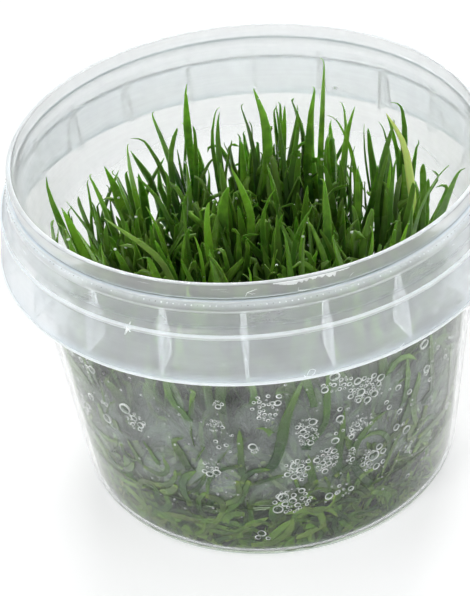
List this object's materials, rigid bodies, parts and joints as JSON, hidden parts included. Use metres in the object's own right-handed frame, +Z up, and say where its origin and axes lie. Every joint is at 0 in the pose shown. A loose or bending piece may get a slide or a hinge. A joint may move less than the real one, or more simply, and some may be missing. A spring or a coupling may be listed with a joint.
{
  "type": "tissue culture cup of aquarium grass",
  "caption": "Round tapered see-through culture cup with a ribbed collar and hanging skirt, holding a disc of clear jelly and a dense turf of narrow strap-leaved plantlets.",
  "frame": {"origin": "centre of the cup's foot, on the surface it stands on", "axes": "+Z up along the cup's axis, -Y towards the viewer of the picture"},
  "size_m": [0.103, 0.103, 0.076],
  "materials": {
    "polypropylene": "clear, slightly milky moulded polypropylene",
    "jelly": "clear wet nutrient jelly",
    "leaf": "fresh green waxy leaf, wet in places"
  },
  "bodies": {
    "root": {"cup": "polypropylene", "nutrient_gel": "jelly", "tuft_01": "leaf", "tuft_02": "leaf", "tuft_03": "leaf", "tuft_04": "leaf", "tuft_05": "leaf", "tuft_06": "leaf", "tuft_07": "leaf", "tuft_08": "leaf", "tuft_09": "leaf", "tuft_10": "leaf", "tuft_11": "leaf", "tuft_12": "leaf", "tuft_13": "leaf", "tuft_14": "leaf", "tuft_15": "leaf", "tuft_16": "leaf", "tuft_17": "leaf", "tuft_18": "leaf", "tuft_19": "leaf", "tuft_20": "leaf", "tuft_21": "leaf", "tuft_22": "leaf", "tuft_23": "leaf", "tuft_24": "leaf", "tuft_25": "leaf", "tuft_26": "leaf", "tuft_27": "leaf", "tuft_28": "leaf", "tuft_29": "leaf", "tuft_30": "leaf", "tuft_31": "leaf", "tuft_32": "leaf", "tuft_33": "leaf", "tuft_34": "leaf"}
  },
  "joints": []
}
